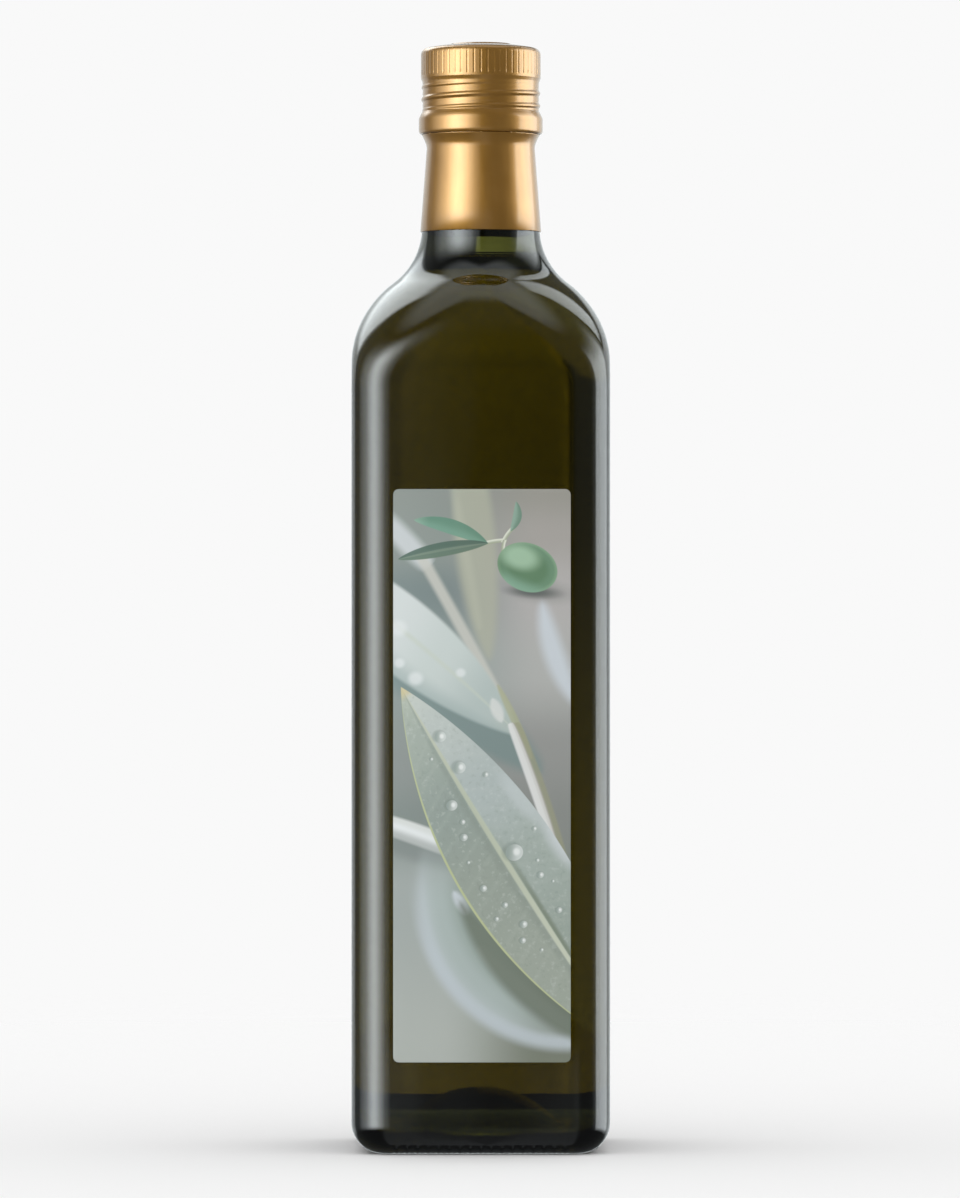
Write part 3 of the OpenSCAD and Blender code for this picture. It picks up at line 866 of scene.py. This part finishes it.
art = twig((23.6, 134.5), (29.4, 135.3), 0.5, 0.2)
art = twig((28.4, 134.6), (31.2, 138.6), 0.5, 0.3)
art = twig((28.9, 135.4), (28.5, 131.8), 0.45, -0.2)
high_leaf = leaf((5.4, 140.6), (24.6, 134.4), 1.95, 1.3, 0.75, 0.28)
tone = blend_colour(ease(high_leaf["Across"], -0.8, 0.6), rgb(112, 153, 134), rgb(94, 136, 116))
tone = over(tone, rgb(150, 178, 160), ease(high_leaf["Along"], 0.22, 0.0), 0.5)
art = over(art, tone, high_leaf["Mask"], 0.95)
long_leaf = leaf((1.3, 130.4), (24.6, 134.6), 1.85, 0.5, 0.75, 0.28)
tone = blend_colour(ease(long_leaf["Across"], -0.6, 0.5), rgb(96, 118, 102), rgb(78, 102, 90))
streak = ease(size_of(plus(long_leaf["Across"], 0.1)), 0.3, 0.05)
tone = over(tone, rgb(124, 142, 126), streak, 0.6)
art = over(art, tone, long_leaf["Mask"], 0.97)
small_leaf = leaf((31.9, 145.4), (30.4, 137.6), 1.15, 1.0, 0.8, 0.3)
tone = blend_colour(ease(small_leaf["Across"], -0.7, 0.7), rgb(136, 166, 150), rgb(104, 138, 120))
art = over(art, tone, small_leaf["Mask"], 0.92)
art = print_drop(art, (66, 76, 74), 0.9, (36.4, 121.9), (5.6, 1.3), -4, 1.9)  # shadow
art = print_drop(art, (112, 116, 112), 0.45, (37.6, 122.4), (7.6, 2.6), -8, 3.6)  # wide shadow
OLIVE, OLIVE_TURN = (34.8, 128.3), -22
olive = drop(OLIVE, (8.0, 6.2), OLIVE_TURN, 0.32)
tone = fade(olive["Reach"], [(0.0, 97, 133, 100), (1.0, 126, 160, 130),
                             (0.55, 92, 128, 96), (0.85, 104, 140, 112)])
tone = over(tone, rgb(132, 170, 148), ease(olive["Own V"], -0.35, -0.95), 0.75)
tone = over(tone, rgb(84, 118, 84), ease(olive["Own U"], -0.45, -0.95), 0.45)
tone = print_drop(tone, (158, 190, 162), 0.95, (32.9, 131.0), (4.6, 2.9), -14, 3.0)  # shine
art = over(art, tone, olive["Mask"], 0.98)
print("sprig printed")

# %% The label's paper and varnish
fibre = waves(ink, 2500.0, 1.0, 3.0)
feed(ink, shader, "Base Color", art)
feed(ink, shader, "Roughness", ease(fibre, 0.3, 0.7, 0.42, 0.55))
feed(ink, shader, "Specular IOR Level", 0.35)
feed(ink, shader, "Normal", bump(fibre, 0.006 * MM))

# %% [markdown]
# ## The label's paper
# The label is a sheet with rounded corners: one face, whose corners are bevelled as vertices,
# is given the paper's thickness, and a tiny bevel takes the sharpness off its front edge.

# %% Make the label
LABEL_CORNER_R = 1.5 * MM
GLUED_IN = 0.03 * MM
bm = bmesh.new()
bmesh.ops.create_grid(bm, x_segments=1, y_segments=1, size=0.5)
bmesh.ops.scale(bm, verts=bm.verts, vec=(LABEL_W * MM, LABEL_H * MM, 1))
bmesh.ops.bevel(bm, geom=bm.verts[:], offset=LABEL_CORNER_R, affect="VERTICES", segments=10,
                profile=0.5, material=-1)
bmesh.ops.rotate(bm, verts=bm.verts, cent=(0, 0, 0),
                 matrix=Matrix.Rotation(math.radians(90), 3, "X"))
label_middle = (label_low + label_high) / 2
bmesh.ops.translate(bm, verts=bm.verts,
                    vec=(label_middle.x, label_high.y + GLUED_IN, label_middle.z))
front_face = bmesh.ops.extrude_face_region(bm, geom=bm.faces[:])["geom"]
moved = verts_of(front_face)
bmesh.ops.translate(bm, verts=moved, vec=(0, label_low.y - label_high.y - GLUED_IN, 0))
rim = [e for e in bm.edges if all(v in set(moved) for v in e.verts)]
bmesh.ops.bevel(bm, geom=rim, offset=0.03 * MM, affect="EDGES", segments=2, profile=0.5,
                material=-1)
face_outwards(bm)
make_piece("paper_label", bm, "front_label", label_paper)

# %% [markdown]
# ## The studio
# Glass shows its surroundings more than itself, so the lights are the picture here. A broad
# soft box stands to the left of the camera and a narrower one to the right and behind; between
# them it is dark, which keeps the green deep. They are drawn in the world by direction, for
# the rays that shine and shine through. The rest sees plain soft light and a pale backdrop.

# %% Soft boxes by direction
world = bpy.data.worlds.new("studio")
bpy.context.scene.world = world
world.use_nodes = True
sky = world.node_tree
sky.nodes.clear()
BRIGHTEST = 10.0
# Brightness round the bottle: degrees to the right of the camera, and how bright it is there
ROUND = ((-180, 1.0), (-131, 1.0), (-127, 0.3), (-106, 0.3), (-99, 0.8), (-75, 2.8), (-62, 6.0),
         (-50, 8.9), (-40, 8.4), (-29, 5.4), (-12, 1.4), (-5, 0.8), (-0.9, 0.3), (-0.6, 0.02),
         (3, 0.02), (12, 0.12), (60, 0.15), (72, 0.6), (76, 2.0), (79, 5.4), (100, 5.4),
         (126, 3.8), (132, 1.2), (180, 1.0))
# Brightness of what is seen through the bottle, by degrees above the horizon
BEHIND = ((-40, 1.1), (-3.4, 1.15), (-1.0, 1.0), (0.5, 0.92), (1.0, 0.75), (1.45, 0.9),
          (1.85, 0.98), (2.5, 1.05), (40, 1.1))

def brightness(value, stops, low, high):
    """A Color Ramp that gives a brightness for a number between low and high."""
    ramp = node(sky, "ValToRGB",
                i0=node(sky, "MapRange", i0=value, i1=low, i2=high).outputs[0])
    elements = ramp.color_ramp.elements
    for k, (place, bright) in enumerate([stops[0], stops[-1]] + list(stops[1:-1])):
        at = (place - low) / (high - low)
        element = elements[k] if k < 2 else elements.new(at)
        element.position = at
        element.color = (bright / BRIGHTEST,) * 3 + (1,)
    return times(ramp.outputs[0], BRIGHTEST)

def mix(share, low, high):
    return node(sky, "Mix", i0=share, i2=low, i3=high).outputs[0]

look = node(sky, "SeparateXYZ", i0=node(sky, "TexCoord").outputs["Generated"])
DEGREES = 180 / math.pi
across, ahead = look.outputs["X"], times(look.outputs["Y"], -1.0)
azimuth = times(maths("ARCTAN2", across, ahead), DEGREES)
height = times(maths("ARCSINE", look.outputs["Z"]), DEGREES)
side = size_of(azimuth)

# The panels fade above and below, sooner on the right, and high up behind the bottle
panels = brightness(azimuth, ROUND, -180, 180)
lifted = plus(height, ease(azimuth, 0, 60, 0.0, 6.0))
reach = times(ease(height, -24.0, -10.0), ease(lifted, 56.0, 24.0))
high_behind = times(ease(side, 132, 138), ease(height, 18, 23))
reach = times(reach, minus(1.0, high_behind))

# Dim room light above them, and a soft box overhead that reaches further down at the back
ROOM = 0.12
overhead = maths("MULTIPLY_ADD", ease(side, 0, 60), 14.0, height)
top_light = maths("MULTIPLY_ADD", ease(overhead, 69.0, 84.0), 0.9, ROOM)

def window(value, low, high, edge):
    """1 between low and high, with soft edges."""
    rising = ease(value, low - edge, low + edge)
    return times(rising, ease(value, high + edge, high - edge))

# Two boxes high up behind the bottle, which shine along its shoulders
HIGH_LEFT, HIGH_RIGHT = 3.6, 2.1
left_box = times(window(azimuth, -167, -134, 3), window(height, 20, 60, 5))
right_box = times(window(azimuth, 139.5, 152.5, 1.5), window(height, 25, 60, 3))
boxes = mix(reach, top_light, panels)
boxes = mix(left_box, boxes, HIGH_LEFT)
boxes = mix(right_box, boxes, HIGH_RIGHT)
# The floor in front shines faintly in the bottle's foot
near_floor = times(ease(height, -3.3, -3.6), ease(side, 0.2, 0.7, 0.12, 0.24))
boxes = plus(boxes, times(near_floor, ease(side, 30, 10)))

# What shows through the bottle is a little brighter on the left, and dim to the right and in front
through = brightness(height, BEHIND, -40, 40)
flat_part = ease(across, -0.016, 0.0125, 1.1, 0.8)
right_strip = ease(height, 0.8, -2.2, 0.15, 0.75)
lean = mix(ease(across, -0.0175, -0.03), flat_part, right_strip)
in_front = ease(height, -6.0, -14.0, 0.3, 0.8)
through = times(times(through, lean),
                mix(ease(side, 80, 125), in_front, 1.0))

# %% Which rays see what
paths = node(sky, "LightPath")
BACKDROP = 0.947
SOFT_LIGHT = 1.0
plain = mix(paths.outputs["Is Camera Ray"], SOFT_LIGHT, BACKDROP)
light = mix(paths.outputs["Is Glossy Ray"], plain, boxes)
light = mix(paths.outputs["Is Transmission Ray"], light, through)
COOL = (0.93, 1.0, 1.02, 1)
tint = blend_colour(paths.outputs["Is Glossy Ray"], (1, 1, 1, 1), COOL)
ground = node(sky, "Background", Color=tint, Strength=light)
sky.links.new(ground.outputs[0], node(sky, "OutputWorld").inputs[0])
print("studio ready")

# %% [markdown]
# ## Floor and camera
# The floor is a pale disc that fades away at its edge, so no line shows between floor and
# backdrop; only the shadow by the bottle's foot tells where it stands. A dark card of painted
# shade lies round the foot. Only rays that graze it after passing through the glass see it, and
# it stands in for the shade that gives thick glass the dark foot that it has on a table.

# %% The floor, and a dark card of painted shade round the foot that shows only through the glass
FLOOR_R = 0.9
SHADE_CARD_R = 0.223

def stage_disc(name, radius, height, colour):
    """A matt disc on the stage. It returns the object, its nodes and its shader."""
    bm = bmesh.new()
    bmesh.ops.create_circle(bm, cap_ends=True, segments=128, radius=radius)
    bmesh.ops.translate(bm, verts=bm.verts, vec=(0, 0, height))
    mesh = bpy.data.meshes.new(name)
    bm.to_mesh(mesh)
    bm.free()
    disc = bpy.data.objects.new(name, mesh)
    bpy.context.scene.collection.objects.link(disc)
    material, tree, shader = new_material(name)
    feed(tree, shader, "Base Color", colour)
    feed(tree, shader, "Roughness", 0.9)
    feed(tree, shader, "Specular IOR Level", 0.0)
    mesh.materials.append(material)
    disc.visible_glossy = False
    print("%s radius %.3f m" % (name, radius))
    return disc, tree, shader

floor, tree, shader = stage_disc("floor", FLOOR_R, 0, (BACKDROP, BACKDROP, BACKDROP, 1))
from_middle = node(tree, "VectorMath", {"operation": "LENGTH"},
                   i0=node(tree, "TexCoord").outputs["Object"]).outputs["Value"]
feed(tree, shader, "Alpha", ease(from_middle, 0.9 * FLOOR_R, 0.2 * FLOOR_R))
floor.visible_transmission = False

# Painted shade: a near-black disc that only the glass sees, standing in for the shade round the
# foot
shade_card, tree, shader = stage_disc("shade_card", SHADE_CARD_R, -0.2 * MM, (0.01, 0.011, 0.014, 1))
grazing = node(tree, "LayerWeight", Blend=0.5).outputs["Facing"]
feed(tree, shader, "Alpha", ease(grazing, 0.62, 0.78))
shade_card.visible_camera = False
shade_card.visible_diffuse = False
shade_card.visible_shadow = False

# %% The camera
LENS, SENSOR_W = 228, 36
CAMERA_X, CAMERA_Y, CAMERA_Z = -0.0002, -2.0, 0.1443
camera_data = bpy.data.cameras.new("camera")
camera_data.lens = LENS
camera_data.sensor_width = SENSOR_W
camera = bpy.data.objects.new("camera", camera_data)
camera.location = (CAMERA_X, CAMERA_Y, CAMERA_Z)
camera.rotation_euler = (math.radians(90), 0, 0)
bpy.context.scene.collection.objects.link(camera)
bpy.context.scene.camera = camera

# %% How light is followed
scene = bpy.context.scene
scene.view_settings.view_transform = "Standard"
scene.cycles.max_bounces = 24
scene.cycles.transmission_bounces = 20
scene.cycles.glossy_bounces = 10
scene.cycles.caustics_reflective = True
scene.cycles.caustics_refractive = True
